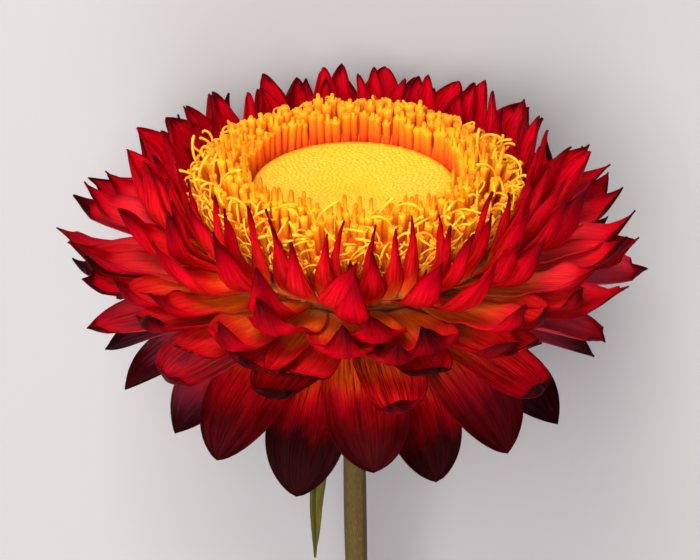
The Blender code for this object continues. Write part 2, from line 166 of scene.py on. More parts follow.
def finish_piece(name, bm, materials, nodes=(), smooth=True):
    """Lays a piece down with the flower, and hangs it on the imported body."""
    bmesh.ops.transform(bm, matrix=LAID, verts=bm.verts)
    mesh = bpy.data.meshes.new(name)
    bm.to_mesh(mesh)
    bm.free()
    if smooth:
        mesh.shade_smooth()
    for material in materials:
        mesh.materials.append(material)
    made = bpy.data.objects.new(name, mesh)
    bpy.context.scene.collection.objects.link(made)
    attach(made, "root")
    if nodes:
        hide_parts(*nodes)
    return made


def thicken(piece, name, thickness):
    """Gives open blades their thickness, half to each side. A second material is for their other side."""
    wall = piece.modifiers.new(name, "SOLIDIFY")
    wall.thickness = thickness
    wall.offset = 0
    wall.material_offset = len(piece.data.materials) - 1


def spun(outline, steps, closed=False):
    """An outline of (radius, height), run down its outer side, spun about the Z axis."""
    bm = bmesh.new()
    corners = [bm.verts.new((radius, 0, height)) for radius, height in outline]
    ends = corners[1:] + corners[:1] if closed else corners[1:]
    edges = [bm.edges.new(pair) for pair in zip(corners, ends)]
    bmesh.ops.spin(
        bm,
        geom=corners + edges,
        cent=(0, 0, 0),
        axis=(0, 0, 1),
        angle=2 * math.pi,
        steps=steps,
        use_merge=True,
    )
    bmesh.ops.remove_doubles(bm, verts=bm.verts, dist=WELD)
    bmesh.ops.recalc_face_normals(bm, faces=bm.faces)
    return bm


def add_turned(bm, profile, steps, closed=False):
    """Adds a profile, in mm, turned about the head's axis."""
    part = spun([(radius * MM, height * MM) for radius, height in profile], steps, closed)
    mesh = bpy.data.meshes.new("turned")
    part.to_mesh(mesh)
    part.free()
    bm.from_mesh(mesh)
    bpy.data.meshes.remove(mesh)


# Materials
class Finish:
    """A new material, with short ways to add nodes. A value is a number, a colour or a node's output."""

    def __init__(self, name):
        self.made = bpy.data.materials.new(name)
        self.made.use_nodes = True
        self.tree = self.made.node_tree
        self.shader = self.tree.nodes["Principled BSDF"]

    def fill(self, socket, value):
        """Links another node's output to a socket, or else sets the socket itself."""
        if isinstance(value, bpy.types.NodeSocket):
            self.tree.links.new(value, socket)
        elif isinstance(value, tuple):
            socket.default_value = (*value, 1)
        else:
            socket.default_value = value

    def add(self, kind, values=(), **settings):
        node = self.tree.nodes.new(kind)
        for setting, value in settings.items():
            setattr(node, setting, value)
        for socket, value in zip(node.inputs, values):
            self.fill(socket, value)
        return node

    def fill_named(self, node, values):
        for name, value in values.items():
            self.fill(node.inputs[name], value)

    def attribute(self, name):
        return self.add("ShaderNodeAttribute", attribute_name=name).outputs["Fac"]

    def place(self):
        return self.add("ShaderNodeTexCoord").outputs["Object"]

    def calc(self, operation, *values, clamp=False):
        return self.add("ShaderNodeMath", values, operation=operation, use_clamp=clamp).outputs[0]

    def times(self, value, factor, clamp=False):
        return self.calc("MULTIPLY", value, factor, clamp=clamp)

    def line(self, value, slope, start, clamp=False):
        """Value times slope, plus start."""
        return self.calc("MULTIPLY_ADD", value, slope, start, clamp=clamp)

    def combine(self, x, y, z=0.0):
        return self.add("ShaderNodeCombineXYZ", (x, y, z)).outputs[0]

    def noise(self, vector, scale, detail, roughness=0.6):
        node = self.add("ShaderNodeTexNoise")
        self.fill_named(node, {"Vector": vector, "Scale": scale, "Detail": detail, "Roughness": roughness})
        return node.outputs["Fac"]

    def ramp(self, share, stops):
        node = self.add("ShaderNodeValToRGB", (share,))
        elements = node.color_ramp.elements
        while len(elements) < len(stops):
            elements.new(0.5)
        for element, (position, colour) in zip(elements, stops):
            element.position = position
            element.color = (*colour, 1)
        return node.outputs["Color"]

    def mix(self, share, first, second, blend="MIX"):
        """Second over first, by a share. A colour mix has its inputs at 0, 6 and 7, and its output at 2."""
        node = self.add("ShaderNodeMix", data_type="RGBA", blend_type=blend)
        for number, value in ((0, share), (6, first), (7, second)):
            self.fill(node.inputs[number], value)
        return node.outputs[2]

    def tint(self, share, colour, by):
        return self.mix(share, colour, by, "MULTIPLY")

    def relief(self, height, strength, depth):
        bump = self.add("ShaderNodeBump")
        self.fill_named(bump, {"Height": height, "Strength": strength, "Distance": depth})
        self.fill_named(self.shader, {"Normal": bump.outputs["Normal"]})

    def glow(self, weight, radius, scale):
        """How much light goes through, and how far: radius is for red, green and blue, scale in metres."""
        self.fill_named(self.shader, {"Subsurface Weight": weight, "Subsurface Scale": scale})
        self.shader.inputs["Subsurface Radius"].default_value = radius

    def dress(self, colour, roughness, gloss=0.5):
        looks = {"Base Color": colour, "Roughness": roughness, "Specular IOR Level": gloss}
        self.fill_named(self.shader, looks)
        return self.made


# Bracts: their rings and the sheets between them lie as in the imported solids, and most rings hold more
def lower_sheet(radius):
    """The height that parts the lowest bracts from the middle ones."""
    start, height = LOWER_SHEET_START
    past = max(radius - start, 0)
    return height + 0.175 * past - 0.0035 * past * past + 0.8 * smooth_max(radius - LOWER_SHEET_RIM, 0, 2)


def upper_sheet(radius):
    """The height that parts the middle bracts from the inner ones."""
    start, height = UPPER_SHEET_START
    return height + 0.2 * (radius - start) + 2.4 * smooth_max(radius - UPPER_SHEET_RIM, 0, 3.5)


def sheet_margin(sheet, radius):
    """How far from a sloping sheet, measured upright, a bract keeps."""
    step = 0.1
    return SHEET_MARGIN * math.hypot(1, (sheet(radius + step) - sheet(radius - step)) / (2 * step))


def keep_between(radius, height, below, above):
    """Keeps a point of a bract clear of the sheets below and above its node, and of the ring of florets."""
    if below:
        height = smooth_max(height, below(radius) + sheet_margin(below, radius), SHEET_BLEND)
    if above:
        height = -smooth_max(-height, sheet_margin(above, radius) - above(radius), SHEET_BLEND)
    if height > RING_WALL_FOOT:
        wall = RING_WALL + RING_FLARE * max(height, 0)
        radius = smooth_max(radius, wall + SHEET_MARGIN, RING_BLEND)
    return radius, height


Own = namedtuple("Own", "azimuth length width rise roll lean hook cup tail")
Bract = namedtuple("Bract", "whorl own ring")
Station = namedtuple("Station", "along radius height slope")
Blade = namedtuple("Blade", "tone blush wave_phase wave_length fold tip_roll swerve twist")
FLAT_CURL = 0.01  # a blade that rolls in less than this, in radians, is flat across
WAVE_HEIGHT = 0.16
BRACT_RIBS = 5
RIB_HEIGHT = 0.011  # a share of the whorl's width


def own_ways(draw, azimuth, uneven):
    """How one bract differs from its whorl."""
    rear = (1 - math.cos(azimuth * DEG)) / 2
    side = (1 - uneven) * math.sin(azimuth * DEG) ** 2
    return Own(
        azimuth=azimuth + draw.uniform(-3.2, 3.2),
        length=draw.uniform(0.94, 1.05) * (1 - uneven * REAR_SHORT * rear),
        width=draw.uniform(0.92, 1.08) * (1 + uneven * REAR_BROAD * (rear - EVEN_SIDE)),
        rise=draw.uniform(-4.0, 4.0),
        roll=draw.uniform(-9, 9),
        lean=draw.uniform(-0.07, 0.07),
        hook=draw.uniform(0.6, 1.15) * (1 - SIDE_FLAT * side),
        cup=draw.uniform(0.8, 1.2),
        tail=1 - uneven * REAR_BLUNT * rear + SIDE_SHARP * side,
    )


def slope_at(whorl, own, along):
    """How steeply a bract climbs, in degrees, at a share of its length."""
    turned_up = min(1, max(0, (along - whorl.bend) / (1 - whorl.bend) / TURN_SHARE))
    eased = turned_up * turned_up * (3 - 2 * turned_up)
    slope = whorl.rise + (whorl.tip_rise - whorl.rise) * along
    if whorl.tip_rise < DROOPING:
        slope += SIDE_EASE * math.sin(own.azimuth * DEG) ** 2 * along
    return slope + own.rise * min(1, 3 * along) + whorl.hook * own.hook * eased


def spine(whorl, own, base_rows, tip_rows, steps=6):
    """A bract's middle line: its rows lie evenly up to the bend, and then closer towards the tip."""
    shares = [whorl.bend * row / base_rows for row in range(base_rows)]
    shares += [1 - (1 - whorl.bend) * (1 - row / tip_rows) ** 1.3 for row in range(tip_rows + 1)]
    radius, height = whorl.root
    stations = []
    for share, onward in zip(shares, shares[1:] + shares[-1:]):
        stations.append(Station(share, radius, height, slope_at(whorl, own, share) * DEG))
        stride = whorl.length * own.length * (onward - share) / steps
        for step in range(steps):
            slope = slope_at(whorl, own, share + (onward - share) * (step + 0.5) / steps) * DEG
            radius += math.cos(slope) * stride
            height += math.sin(slope) * stride
    return stations


def height_over_table(station, azimuth):
    """In mm, of a station of a bract's middle line."""
    outwards = -station.radius * math.cos(azimuth * DEG)
    return HEAD_CENTRE.z / MM - outwards * math.cos(HEAD_TILT) + station.height * math.sin(HEAD_TILT)


def lowest_reach(whorl, own):
    """How high over the table, in mm, the lowest part of a bract's middle line comes, past its root."""
    past_root = spine(whorl, own, *SMALL_ROWS)[3:]
    return min(height_over_table(station, own.azimuth) for station in past_root)


def fit_to_table(whorl, own, floor, reach):
    """Shortens a bract until it clears the floor, or lengthens it to the floor if reach steps are enough."""
    while lowest_reach(whorl, own) < floor:
        own = own._replace(length=own.length - LENGTH_STEP)
    for _ in range(reach):
        longer = own._replace(length=own.length + LENGTH_STEP)
        if lowest_reach(whorl, longer) < floor:
            break
        if lowest_reach(whorl, own._replace(length=own.length + LENGTH_STEP * reach)) < floor:
            own = longer
    return own


def arrange(whorls, seed, floor, reach=0, uneven=0):
    """Every bract of a node, with its own ways, fitted to the table. Ring runs from 0 to 1 up the node."""
    draw = random.Random(seed)
    bracts = []
    for number, whorl in enumerate(whorls):
        for index in range(whorl.count):
            own = own_ways(draw, whorl.phase + 360 * index / whorl.count, uneven)
            bracts.append(Bract(whorl, fit_to_table(whorl, own, floor, reach), number / (len(whorls) - 1)))
    return bracts


def blade_ways(draw, own):
    """What a blade has besides its bract's own ways, and how much mauve sheen is painted on it: most on the
    side that lies undermost.
    """
    return Blade(
        tone=draw.random(),
        blush=min(1, max(0, 0.54 - 0.85 * math.cos(own.azimuth * DEG) + 0.3 * draw.random())),
        wave_phase=draw.uniform(0, 6.28),
        wave_length=draw.uniform(8, 13),
        fold=draw.uniform(0.05, 0.2),
        tip_roll=draw.uniform(0.5, 1.2),
        swerve=draw.uniform(-1.5, 1.5),
        twist=draw.uniform(-0.8, 0.8),
    )


def half_width(whorl, own, along):
    """Half the blade's width, in mm, at a share of its length: it closes to a drawn-out point."""
    broad = whorl.width * own.width / 2
    if along < whorl.widest:
        grown = math.sin(math.pi / 2 * along / whorl.widest)
        return broad * (whorl.claw + (1 - whorl.claw) * grown)
    past = (along - whorl.widest) / (1 - whorl.widest)
    return broad * max(0, 1 - past**whorl.point) ** (whorl.tail * own.tail)


def blade_point(bract, blade, station, across):
    """(radius, height, sideways), in mm, of a point of a bract; across runs from -1 to 1 over its width."""
    whorl, own, _ = bract
    along, radius, height, slope = station
    half = half_width(whorl, own, along)
    tipward = max(0, (along - whorl.bend) / (1 - whorl.bend))
    hooked = whorl.hook > HOOKED
    curl = 2 * whorl.cup * own.cup * min(1, 1.8 * along) + blade.tip_roll * min(1, 1.6 * tipward) * hooked
    width = half * across
    side = half * math.sin(curl * across) / curl if curl > FLAT_CURL else width
    rolled = half * (1 - math.cos(curl * across)) / curl if curl > FLAT_CURL else 0
    wrap = math.sin(slope) * width * width / (2 * radius) * (1 - along)
    wave = math.sin(along * blade.wave_length + blade.wave_phase + across)
    ribs = RIB_HEIGHT * whorl.width
    lift = rolled + wrap + side * math.sin(own.roll * DEG)
    lift += WAVE_HEIGHT * wave * abs(across) ** 3 * min(1, 2 * along)
    lift -= blade.fold * (1 - abs(across)) ** 4 * math.sin(math.pi * along)
    lift += blade.twist * across * half * tipward * hooked * 0.5
    lift += ribs * math.cos(BRACT_RIBS * math.pi * across) * (1 - across**4) * math.sin(math.pi * along)
    side = side * math.cos(own.roll * DEG) + own.lean * whorl.length * along * along
    side += blade.swerve * tipward * tipward * hooked
    return radius - math.sin(slope) * lift, height + math.cos(slope) * lift, side


BRACT_LAYERS = ("across", "along", "tone", "ring", "blush")
CLEARANCE = BRACT_THICKNESS / 2 + TABLE_GAP  # of a bract's middle surface above the table
TABLE_BLEND = 0.5 * MM


def add_bract(bm, bract, base_rows, tip_rows, columns, below, above, draw):
    """One bract, as a bent grid: rolled in across, finely waved at its edges, with its point."""
    rows = base_rows + tip_rows
    made = bmesh.ops.create_grid(bm, x_segments=columns, y_segments=rows, size=1)["verts"]
    layers = [bm.verts.layers.float[name] for name in BRACT_LAYERS]
    stations = spine(bract.whorl, bract.own, base_rows, tip_rows)
    azimuth = bract.own.azimuth * DEG
    outward = Vector((math.sin(azimuth), -math.cos(azimuth), 0))
    sideways = Vector((math.cos(azimuth), math.sin(azimuth), 0))
    blade = blade_ways(draw, bract.own)
    for vert in made:
        across = vert.co.x
        station = stations[round((vert.co.y + 1) / 2 * rows)]
        radius, height, side = blade_point(bract, blade, station, across)
        radius, height = keep_between(radius, height, below, above)
        vert.co = (outward * radius + sideways * side + Vector((0, 0, height))) * MM
        over = (LAID @ vert.co).z
        move_up(vert, smooth_max(over, CLEARANCE, TABLE_BLEND) - over)
        for layer, value in zip(layers, (across, station.along, blade.tone, bract.ring, blade.blush)):
            vert[layer] = value


def bract_piece(name, node, bracts, rows, columns, materials, seed, below=None, above=None):
    """All the bracts of a node. Rows are (up to the bend, past it), and materials are (back, face)."""
    bm = bmesh.new()
    add_layers(bm, BRACT_LAYERS)
    draw = random.Random(seed)
    for bract in bracts:
        base_rows, tip_rows = rows if bract.whorl.length > SMALL_BRACT else SMALL_ROWS
        columns_here = columns if bract.whorl.width > NARROW_BRACT else NARROW_COLUMNS
        add_bract(bm, bract, base_rows, tip_rows, columns_here, below, above, draw)
    bmesh.ops.remove_doubles(bm, verts=bm.verts, dist=GRID_WELD)
    thicken(finish_piece(name, bm, materials, (node,)), "paper", BRACT_THICKNESS)


VEIN_TINT = (0.30, 0.14, 0.18)
HAIRLINE_TINT = (0.45, 0.25, 0.3)
EDGE_TINT = (0.35, 0.2, 0.2)
# The two colours of a mauve sheen that is painted on the bracts, most on the side that lies undermost.
SHEEN_DUSK = (0.58, 0.010, 0.085)
SHEEN_MAUVE = (0.86, 0.20, 0.34)


def bract_material(
    name, lowest, highest, streaks, roughness, gloss, veining, mauve=0.0, late=1.0, vein_tint=VEIN_TINT
):
    """Papery bract: its colour runs from claw to tip, in streaks and hairlines that follow the veins.

    The stops of the node's lowest ring give way to those of its highest. Late is how far up that happens,
    veining how many veins a blade has, and mauve how much of the mauve sheen painted on the undermost
    side it takes.
    """
    finish = Finish(name)
    across = finish.attribute("across")
    along = finish.attribute("along")
    tone = finish.attribute("tone")
    ring = finish.calc("POWER", finish.attribute("ring"), late)
    another = finish.times(tone, 40.0)
    vein_space = finish.combine(finish.times(across, veining), finish.times(along, 1.6), another)
    veins = finish.noise(vein_space, 2.2, 6.0, 0.65)
    fine_space = finish.combine(finish.times(across, 2.4 * veining), finish.times(along, 5.0), another)
    fine = finish.noise(fine_space, 2.0, 3.0)
    blotch_space = finish.combine(across, finish.times(along, 2.5), another)
    blotch = finish.noise(blotch_space, 1.6, 3.0, 0.55)
    place = along
    for pattern, shift in ((veins, 0.42), (blotch, 0.25), (tone, 0.12)):
        place = finish.line(finish.calc("SUBTRACT", pattern, 0.5), shift, place)
    colour = finish.mix(ring, finish.ramp(place, lowest), finish.ramp(place, highest))
    past_claw = finish.times(along, 2.2, clamp=True)
    streak = finish.times(finish.line(veins, -4.2, 2.6, clamp=True), streaks)
    colour = finish.tint(finish.times(streak, past_claw), colour, vein_tint)
    hairline = finish.times(finish.line(fine, -3.0, 1.9, clamp=True), 0.6)
    colour = finish.tint(finish.times(hairline, past_claw), colour, HAIRLINE_TINT)
    edge = finish.calc("POWER", finish.calc("ABSOLUTE", across), 4.0)
    colour = finish.tint(finish.times(edge, 0.55), colour, EDGE_TINT)
    # Painted sheen: a mauve sheen painted over the colour, strongest towards the claw and on the side that
    # lies undermost.
    if mauve:
        body = finish.line(place, -3.0, 2.6, clamp=True)
        pale = finish.times(finish.times(finish.attribute("blush"), body), mauve)
        colour = finish.mix(pale, colour, finish.mix(blotch, SHEEN_DUSK, SHEEN_MAUVE))
    finish.glow(0.4, (0.6, 0.10, 0.04), 0.0012)
    finish.relief(finish.calc("ADD", veins, finish.times(fine, 0.6)), 0.5, 0.00012)
    return finish.dress(colour, finish.line(fine, 0.25, roughness - 0.12), gloss)


CLAW_PALE = (0.98, 0.34, 0.09)
CLAW_GREEN = (0.92, 0.26, 0.04)
ORANGE = (0.97, 0.135, 0.009)
DEEP_ORANGE = (0.80, 0.07, 0.006)
SCARLET = (0.84, 0.016, 0.010)
BRICK = (0.46, 0.03, 0.010)
RED = (0.68, 0.001, 0.012)
CRIMSON = (0.54, 0.0005, 0.011)
DARK_RED = (0.30, 0.0004, 0.006)
WINE = (0.24, 0.0006, 0.004)
MAROON = (0.10, 0.001, 0.004)
BLACKISH = (0.022, 0.001, 0.002)

crimson_face = bract_material(
    "crimson_bract_face",
    [(0.0, CLAW_PALE), (0.14, ORANGE), (0.27, SCARLET), (0.62, RED), (0.93, RED), (1.0, MAROON)],
    [(0.0, CLAW_PALE), (0.12, ORANGE), (0.24, SCARLET), (0.60, RED), (0.93, CRIMSON), (1.0, MAROON)],
    streaks=0.5, roughness=0.50, gloss=0.02, veining=3.5,
)
crimson_back = bract_material(
    "crimson_bract_back",
    [(0.0, CLAW_PALE), (0.18, ORANGE), (0.34, SCARLET), (0.74, RED), (0.88, DARK_RED), (1.0, MAROON)],
    [(0.0, CLAW_PALE), (0.16, ORANGE), (0.30, SCARLET), (0.74, RED), (0.90, DARK_RED), (1.0, MAROON)],
    streaks=0.75, roughness=0.52, gloss=0.015, veining=3.5,
)
red_face = bract_material(
    "red_bract_face",
    [
        (0.0, CLAW_PALE), (0.05, CLAW_PALE), (0.15, ORANGE), (0.42, ORANGE), (0.58, SCARLET), (0.86, RED),
        (0.98, WINE),
    ],
    [
        (0.0, CLAW_PALE), (0.06, CLAW_PALE), (0.15, ORANGE), (0.34, ORANGE), (0.50, SCARLET), (0.88, RED),
        (1.0, MAROON),
    ],
    streaks=0.6, roughness=0.48, gloss=0.02, veining=6.0, mauve=0.18,
)
red_back = bract_material(
    "red_bract_back",
    [
        (0.0, CLAW_GREEN), (0.16, CLAW_PALE), (0.36, ORANGE), (0.54, SCARLET), (0.70, RED), (0.82, WINE),
        (0.94, BLACKISH),
    ],
    [
        (0.0, CLAW_PALE), (0.18, CLAW_PALE), (0.34, ORANGE), (0.50, SCARLET), (0.72, RED), (0.86, WINE),
        (0.99, BLACKISH),
    ],
    streaks=0.65, roughness=0.52, gloss=0.015, veining=6.0, mauve=0.15,
)
# The drooping bracts darken to near black towards their tips, the lower rings most: partly their own dark
# colour, partly painted shade where they hang down.
maroon_face = bract_material(
    "maroon_bract_face",
    [
        (0.0, CLAW_GREEN), (0.12, ORANGE), (0.38, ORANGE), (0.47, DEEP_ORANGE), (0.53, SCARLET),
        (0.60, CRIMSON), (0.68, WINE), (0.79, BLACKISH),
    ],
    [(0.0, CLAW_GREEN), (0.20, ORANGE), (0.46, ORANGE), (0.62, SCARLET), (0.84, RED), (0.96, WINE)],
    streaks=0.97, roughness=0.50, gloss=0.02, veining=8.0, mauve=0.9, late=6.0, vein_tint=(0.12, 0.04, 0.05),
)
maroon_back = bract_material(
    "maroon_bract_back",
    [
        (0.0, CLAW_GREEN), (0.22, DEEP_ORANGE), (0.42, BRICK), (0.62, DARK_RED), (0.8, MAROON),
        (0.95, BLACKISH),
    ],
    [(0.0, CLAW_GREEN), (0.24, ORANGE), (0.48, DEEP_ORANGE), (0.70, RED), (0.84, WINE), (0.98, BLACKISH)],
    streaks=0.9, roughness=0.52, gloss=0.02, veining=8.0, mauve=0.8, late=6.0, vein_tint=(0.14, 0.06, 0.08),
)

bract_piece(
    "drooping_bracts", "outer_bracts", arrange(OUTER_WHORLS, seed=16, floor=0.9),
    rows=(15, 15), columns=24, materials=(maroon_back, maroon_face), seed=21, above=lower_sheet,
)
bract_piece(
    "spreading_bracts", "middle_bracts", arrange(MIDDLE_WHORLS, seed=12, floor=-0.3, reach=20),
    rows=(14, 16), columns=18, materials=(red_back, red_face), seed=22, below=lower_sheet, above=upper_sheet,
)
bract_piece(
    "upright_bracts", "inner_bracts", arrange(INNER_WHORLS, seed=8, floor=0.9, uneven=1),
    rows=(10, 16), columns=12, materials=(crimson_back, crimson_face), seed=23, below=upper_sheet,
)


# Receptacle skin
def cone_radius(height):
    """The receptacle's radius at a height."""
    return CONE_FOOT[0] + (height - CONE_FOOT[1]) / CONE_SLOPE


def receptacle_material():
    """Dry skin, mottled from brown to pale orange."""
    finish = Finish("receptacle_skin")
    rough = finish.noise(finish.place(), 900.0, 5.0)
    return finish.dress(finish.ramp(rough, [(0.3, (0.30, 0.085, 0.012)), (0.7, (0.85, 0.34, 0.07))]), 0.8)


def build_collars():
    """The skin that each node's bracts grow from. The lowest collar keeps clear of the stem."""
    bm = bmesh.new()
    depth = COLLAR_DEPTH / CONE_SLOPE
    neck_radius = 1.75
    thinnest = 0.9
    for low, high in COLLARS.values():
        inner_low = max(cone_radius(low) - depth, neck_radius)
        outer_low = max(cone_radius(low), inner_low + thinnest)
        outer_high = cone_radius(high)
        outline = [(outer_high, high), (outer_low, low), (inner_low, low), (outer_high - depth, high)]
        add_turned(bm, outline, COLLAR_SIDES, closed=True)
    finish_piece("receptacle_collars", bm, [receptacle_material()], smooth=False)


build_collars()


# Stem
STEM_TOP = -0.4
STEM_SECTIONS = 110
STEM_SIDES = 36
GIRTH_READ = 0.001  # how far below a section its girth is read, so that none takes the receptacle's
NECK_RADIUS = 1.38
STEM_RIBS = 9
RIB_SHARE = 0.035  # of the radius
RIB_START = 11  # how far below the head's centre the ribs begin
PITH_SHARE = 0.75  # of the radius


def stem_bend():
    """How fast the stem falls away from the head's axis, so that its cut end meets the table."""
    fall = STEM_LENGTH * math.sin(HEAD_TILT) + STEM_RADIUS - STEM_SINK - HEAD_CENTRE.z
    return fall / math.cos(HEAD_TILT) / (STEM_LENGTH - STEM_STRAIGHT) ** 2


def stem_path(point):
    """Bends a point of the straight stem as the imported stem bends."""
    past = max(-point.z - STEM_STRAIGHT, 0)
    share = past / (STEM_LENGTH - STEM_STRAIGHT)
    return Vector((point.x + STEM_DRIFT * share * share, point.y - stem_bend() * past * past, point.z))


def stem_girth(height):
    """The radius at a height, in mm: the receptacle's core, and then a stalk that swells towards the head."""
    if height > STEM_NECK:
        return cone_radius(height) - (COLLAR_DEPTH + 0.5) / CONE_SLOPE
    swell = 0.24 * math.exp((height - STEM_NECK) / 3.0)
    return STEM_RADIUS / MM * (0.985 + 0.02 * math.sin(height * 0.33)) + swell


def stem_material():
    """Dry olive-brown stalk: long fibres, with a pale pith at the cut."""
    finish = Finish("dry_stem")
    turn = finish.attribute("turn")
    reach = finish.attribute("reach")
    fibres = finish.noise(finish.combine(finish.times(turn, 9.0), finish.times(reach, 7.0)), 2.0, 6.0)
    patches = finish.noise(finish.combine(turn, finish.times(reach, 16.0), 3.0), 1.0, 3.0)
    brown_stops = [(0.30, (0.034, 0.018, 0.004)), (0.52, (0.085, 0.050, 0.012)), (0.75, (0.17, 0.110, 0.032))]
    olive_stops = [(0.35, (0.060, 0.056, 0.010)), (0.65, (0.11, 0.055, 0.016))]
    colour = finish.mix(0.35, finish.ramp(fibres, brown_stops), finish.ramp(patches, olive_stops))
    colour = finish.mix(finish.attribute("pith"), colour, (0.52, 0.42, 0.24))
    finish.relief(fibres, 0.6, 0.0001)
    return finish.dress(colour, 0.72, 0.2)


def build_stem():
    """The stalk, with the core of the receptacle at its head, its ribs and its hollowed pith."""
    end = -STEM_LENGTH / MM
    profile = [(0, STEM_TOP)]
    profile += [(stem_girth(level), level) for level in (STEM_TOP, -4.0, -7.6, -9.0)]
    profile.append((NECK_RADIUS, STEM_NECK))
    for step in range(1, STEM_SECTIONS + 1):
        level = STEM_NECK + (end - STEM_NECK) * step / STEM_SECTIONS
        profile.append((stem_girth(level - GIRTH_READ), level))
    profile += [(stem_girth(end) * 0.72, end), (stem_girth(end) * 0.62, end + 0.12), (0, end + 0.16)]
    bm = bmesh.new()
    add_turned(bm, profile, STEM_SIDES)
    turn, reach, pith = add_layers(bm, ("turn", "reach", "pith"))
    for vert in bm.verts:
        angle = math.atan2(vert.co.y, vert.co.x)
        down = -vert.co.z / MM
        if RIB_START < down < -end - 0.01:
            grown = min(1, (down - RIB_START) / 6)
            rib = 1 + RIB_SHARE * math.cos(STEM_RIBS * angle + 0.05 * down) * grown
            vert.co.x *= rib
            vert.co.y *= rib
        in_pith = down > -end - 0.3 and math.hypot(vert.co.x, vert.co.y) < STEM_RADIUS * PITH_SHARE
        vert[turn] = abs(angle)
        vert[reach] = down / 10
        vert[pith] = float(in_pith)
        vert.co = stem_path(vert.co)
        over = (LAID @ vert.co).z
        if over < 0:
            move_up(vert, -over)
    finish_piece("flower_stem", bm, [stem_material()], ("stem",))


build_stem()


# Leaf
LEAF_LINE = [(-1.4, -1.45, -12.4), (-3.9, -4.9, -17.5), (-4.0, -4.2, -36.2)]
LEAF_WIDTH = 2.5
LEAF_TURN = 40 * DEG  # how far its base faces round the stem; by the tip it has turned half of this back
LEAF_THICKNESS = 0.26 * MM
LEAF_ROWS = 60
LEAF_COLUMNS = 10


def leaf_material():
    """Dry olive leaf, with long grain and a paler midrib."""
    finish = Finish("dry_leaf")
    across = finish.attribute("across")
    along = finish.attribute("along")
    grain = finish.noise(finish.combine(finish.times(across, 5.0), finish.times(along, 9.0)), 1.6, 5.0)
    olive_stops = [(0.3, (0.030, 0.028, 0.001)), (0.55, (0.070, 0.060, 0.002)), (0.8, (0.14, 0.115, 0.006))]
    midrib = finish.line(finish.calc("ABSOLUTE", across), -7.0, 1.0, clamp=True)
    colour = finish.mix(finish.times(midrib, 0.6), finish.ramp(grain, olive_stops), (0.20, 0.17, 0.02))
    finish.relief(grain, 0.5, 0.0001)
    return finish.dress(colour, 0.66, 0.2)


def build_leaf():
    """The one narrow leaf: folded along its midrib, with a rippled edge."""
    start, pull, end = [Vector(point) for point in LEAF_LINE]
    bm = bmesh.new()
    layers = add_layers(bm, ("across", "along"))
    bmesh.ops.create_grid(bm, x_segments=LEAF_COLUMNS, y_segments=LEAF_ROWS, size=1)
    for vert in bm.verts:
        across = vert.co.x
        along = (vert.co.y + 1) / 2
        middle = start * (1 - along) ** 2 + pull * 2 * along * (1 - along) + end * along**2
        turn = LEAF_TURN * (1 - 0.5 * along)
        side = Vector((math.cos(turn), math.sin(turn), 0))
        front = Vector((math.sin(turn), -math.cos(turn), 0))
        width = LEAF_WIDTH / 2 * (0.45 + 0.55 * min(1, 2 * along))
        width *= max(0, 1 - along**3.4) ** 0.9
        ripple = 0.10 * math.sin(along * 21 + across) * abs(across)
        fold = abs(across) * width * 0.42 - 0.07 * math.exp(-((across * 5) ** 2))
        vert.co = (middle + side * (across * width) + front * (fold + ripple)) * MM
        for layer, value in zip(layers, (across, along)):
            vert[layer] = value
    bmesh.ops.remove_doubles(bm, verts=bm.verts, dist=GRID_WELD)
    thicken(finish_piece("stem_leaf", bm, [leaf_material()], ("leaf",)), "blade", LEAF_THICKNESS)


build_leaf()


# Open florets. The outer rows have opened first: they lean out, and their forked styles curl away. Styles
# is how many a floret has, or a chance of one; anthers is the chance that they stand out of the tube.
FloretRow = namedtuple("FloretRow", "radius count foot lean top anthers styles")
FLORET_ROWS = [
    FloretRow(10.7, 80, 2.6, 1, 6.9, 0.85, 0),
    FloretRow(11.5, 68, 2.6, 3, 7.5, 0.8, 0),
    FloretRow(12.3, 68, 2.6, 6, 7.5, 0.55, 0.2),
    FloretRow(13.15, 68, 2.6, 12, 6.9, 0.15, 1),
    FloretRow(13.9, 66, 2.6, 22, 5.9, 0, 2),
    FloretRow(14.3, 62, 2.0, 34, 4.7, 0, 2),
    FloretRow(14.5, 60, 1.2, 44, 3.2, 0, 2),
]
# The florets stand so close at their feet that one core fills the ring there: (radius, height), in mm.
RING_CORE = [
    (13.9, 2.2), (14.3, FLORET_BASE), (10.35, FLORET_BASE), (10.4, 3.5), (10.9, 4.6), (11.9, 5.0),
    (12.9, 4.5), (13.5, 3.5),
]
# Each part of a floret is a profile of (radius in mm, share of its height), and has a number for its colour.
TUBE_SIDES = 10
TUBE_MOUTH = 0.85  # share of the tube's height from which its mouth is notched
NOTCH_IN = 0.84
NOTCH_DOWN = 0.02
TUBE_PROFILE = [
    (0.0, 0.955), (0.18, 0.985), (0.37, 1.0), (0.45, 0.96), (0.43, 0.90), (0.35, 0.80), (0.34, 0.5),
    (0.32, 0.0),
]
ANTHER_PROFILE = [(0.0, 1.0), (0.11, 0.985), (0.19, 0.90), (0.21, 0.72), (0.19, 0.0)]
STYLE_PROFILE = [
    (0.0, 1.0), (0.16, 0.99), (0.165, 0.86), (0.145, 0.72), (0.135, 0.57), (0.13, 0.43), (0.125, 0.28),
    (0.125, 0.14), (0.125, 0.0),
]
BRISTLE_PROFILE = [(0.0, 1.0), (0.035, 0.6), (0.045, 0.0)]
BUD_PROFILE = [(0.0, 1.0), (0.14, 0.93), (0.24, 0.70), (0.28, 0.3), (0.27, 0.0)]
TUBE, STYLE, BRISTLE, ANTHER = 0.0, 0.5, 0.75, 1.0
FLORET_LAYERS = ("along", "part", "tone")
FLORET_SEED = 31
BRISTLES = 2200
CUP_RADIUS = 15.0  # of the cup that the innermost bracts make, at the ring's foot
CUP_FLARE = 0.30


